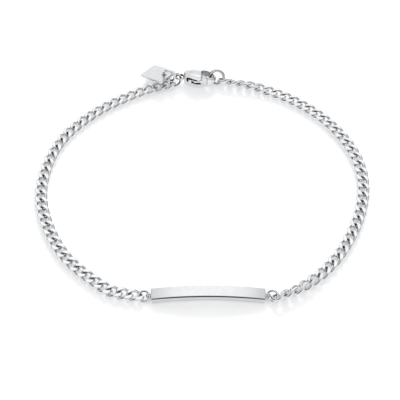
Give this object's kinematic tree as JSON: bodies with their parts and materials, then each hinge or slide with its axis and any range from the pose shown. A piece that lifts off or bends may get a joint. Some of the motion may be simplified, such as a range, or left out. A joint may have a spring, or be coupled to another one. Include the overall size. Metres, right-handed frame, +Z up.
{
  "type": "nameplate bracelet",
  "caption": "Curb chain bracelet with a plain curved nameplate, a lobster clasp with a sprung lever, and a small square tag, fastened and lying flat.",
  "frame": {"origin": "centre of the fastened loop's bounding box, on the table it lies on", "axes": "+X along the loop's long way and the nameplate, +Y from the nameplate back to the clasp, +Z up from the table"},
  "size_m": [0.064, 0.0588, 0.0038],
  "materials": {
    "polished_plate": "polished silver",
    "polished_wire": "polished silver",
    "satin_tag": "satin silver"
  },
  "bodies": {
    "bracelet": {"nameplate": "polished_plate", "nameplate_ring_left": "polished_wire", "nameplate_ring_right": "polished_wire", "chain_left": "polished_wire", "chain_right": "polished_wire", "closure_ring": "polished_wire", "clasp_body": "polished_plate", "clasp_pin": "polished_plate", "clasp_ring": "polished_wire", "tag_ring": "polished_wire", "tag": "satin_tag"},
    "lever": {"clasp_lever": "polished_wire"}
  },
  "joints": [
    {"name": "clasp_lever_hinge", "type": "hinge", "parent": "bracelet", "child": "lever", "pos_m": [-0.00225, 0.02503, 0.00152], "axis": [0.0061, 0.1735, 0.9848], "range_deg": [0, 12], "stiffness_Nm_per_rad": 0.004}
  ]
}
